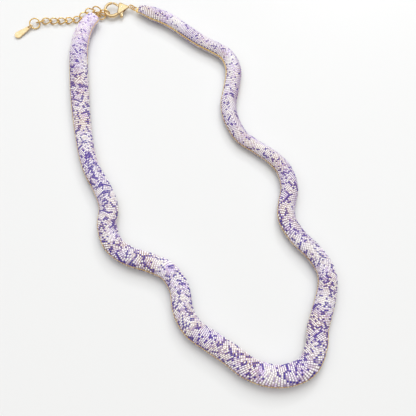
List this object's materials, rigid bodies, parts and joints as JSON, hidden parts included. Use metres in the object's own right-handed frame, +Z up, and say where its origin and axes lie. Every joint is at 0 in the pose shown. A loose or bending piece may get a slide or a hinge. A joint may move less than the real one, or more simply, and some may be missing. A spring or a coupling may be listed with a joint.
{
  "type": "snake necklace",
  "caption": "Flat-lying snake necklace: a thick beaded mesh tube in a wavy loop, with a lobster clasp, an extender chain and a teardrop tag.",
  "frame": {"origin": "on the floor under the middle of the part's box", "axes": "+Z up from the floor; +Y along the loop's length towards the clasp; +X towards the side with the clasp's free strand, as seen from above"},
  "size_m": [0.1524, 0.1895, 0.0066],
  "materials": {
    "printed_mesh": "satin",
    "gold": "polished"
  },
  "bodies": {
    "necklace": {"snake_tube": "printed_mesh", "end_loop_right": "gold", "jump_ring": "gold", "clasp_body": "gold", "clasp_pin": "gold", "end_loop_left": "gold", "end_ring": "gold", "joining_ring": "gold", "chain_link_1": "gold", "chain_link_2": "gold", "chain_link_3": "gold", "chain_link_4": "gold", "chain_link_5": "gold", "chain_link_6": "gold", "chain_link_7": "gold", "chain_link_8": "gold", "chain_link_9": "gold", "small_link": "gold", "tag_ring": "gold", "tag_bail": "gold", "teardrop_tag": "gold"},
    "lever": {"clasp_lever": "gold"}
  },
  "joints": [
    {"name": "clasp_lever_hinge", "type": "hinge", "parent": "necklace", "child": "lever", "pos_m": [-0.02333, 0.09135, 0.00243], "axis": [0.0266, -0.1366, 0.9903], "range_deg": [0, 22], "stiffness_Nm_per_rad": 0.004}
  ]
}
